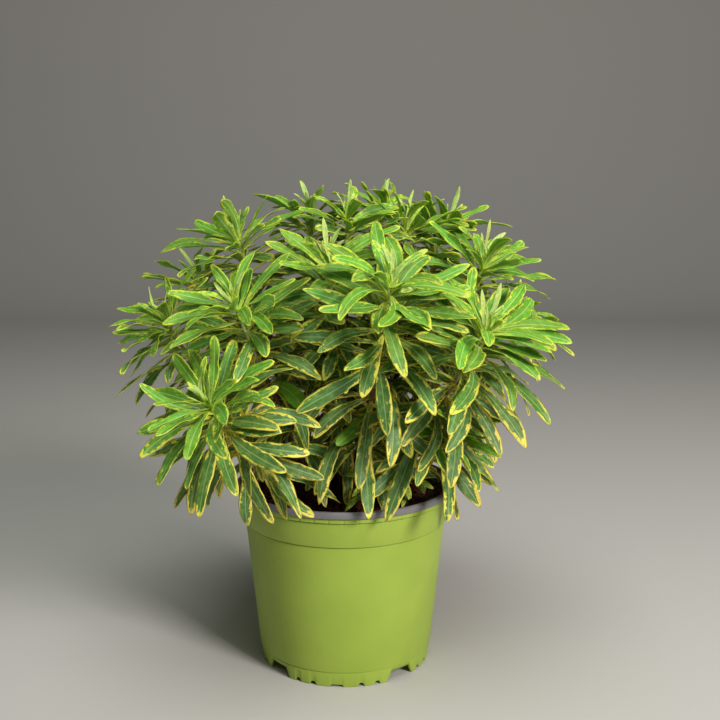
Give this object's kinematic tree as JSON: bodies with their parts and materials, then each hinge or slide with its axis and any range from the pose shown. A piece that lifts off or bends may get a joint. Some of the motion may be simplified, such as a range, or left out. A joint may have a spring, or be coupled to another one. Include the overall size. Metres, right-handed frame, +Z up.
{
  "type": "potted euphorbia",
  "caption": "Variegated euphorbia, a round bush of leafy stems in a 14 cm green plastic grower's pot of peat; the pot stands on its foot ring.",
  "frame": {"origin": "on the floor, under the middle of the whole plant's box", "axes": "+Z up along the pot's axis; the pictured side of the plant faces -Y; +X to the right"},
  "size_m": [0.29, 0.2618, 0.3052],
  "materials": {
    "pot_plastic": "satin moulded polypropylene, green outside, grey lip and inside",
    "peat": "loose moist peat",
    "leaf": "satin leaf, green with a yellow margin"
  },
  "bodies": {
    "root": {"pot": "pot_plastic", "soil": "peat", "stem_front_left_low": "leaf", "stem_front_middle": "leaf", "stem_front_left_high": "leaf", "stem_front_right": "leaf", "stem_centre_front": "leaf", "stem_left_high": "leaf", "stem_left": "leaf", "stem_top": "leaf", "stem_top_right": "leaf", "stem_right_high": "leaf", "stem_right_low": "leaf", "stem_back_top_right": "leaf", "stem_back_top": "leaf", "stem_back_top_left": "leaf", "stem_back_left": "leaf", "stem_back_left_low": "leaf", "stem_back_middle": "leaf", "stem_back_right": "leaf", "stem_right_back": "leaf", "stem_short_middle": "leaf", "stem_short_right": "leaf"}
  },
  "joints": []
}
